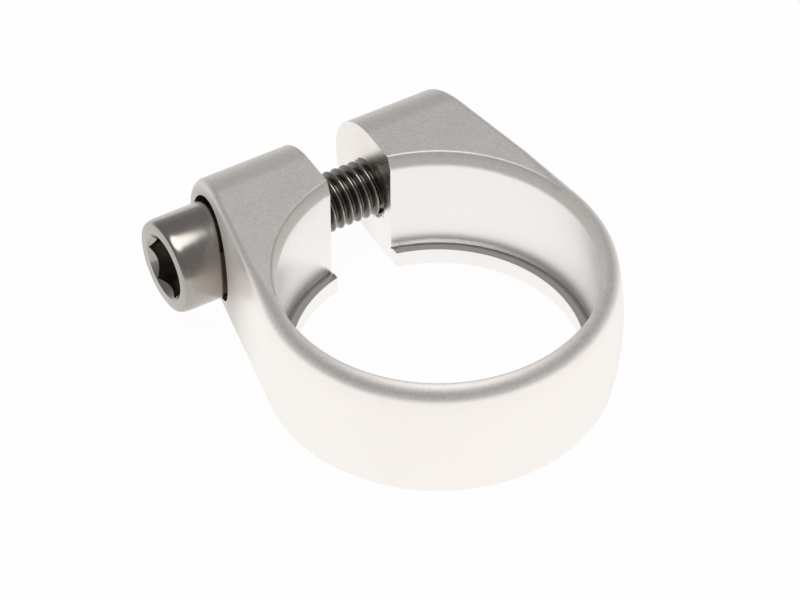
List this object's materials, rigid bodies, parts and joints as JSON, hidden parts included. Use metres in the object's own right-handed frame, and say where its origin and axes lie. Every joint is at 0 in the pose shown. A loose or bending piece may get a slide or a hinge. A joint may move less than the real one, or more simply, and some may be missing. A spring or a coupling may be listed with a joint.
{
  "type": "seatpost clamp",
  "caption": "Split ring clamp with crowned wall, round-ended ears and an inner lip, closed on a bicycle seat tube by a cross bolt with a hexagon socket.",
  "frame": {"origin": "on the bore axis, in the outer face of the lip, on which the clamp lies", "axes": "+Z along the bore from the lip towards the open edge, +Y from the bore out through the slit, X along the bolt with its head at the -X end"},
  "size_m": [0.0388, 0.0453, 0.014],
  "materials": {
    "blasted_aluminium": "bead blasted and clear anodised, fine grain, satin",
    "bolt_steel": "plain turned steel, half bright"
  },
  "bodies": {
    "band": {"clamp_band": "blasted_aluminium"},
    "bolt": {"clamp_bolt": "bolt_steel"}
  },
  "joints": [
    {"name": "bolt_turn", "type": "hinge", "parent": "band", "child": "bolt", "pos_m": [0, 0.0199, 0.007], "axis": [1, 0, 0], "continuous": true}
  ]
}
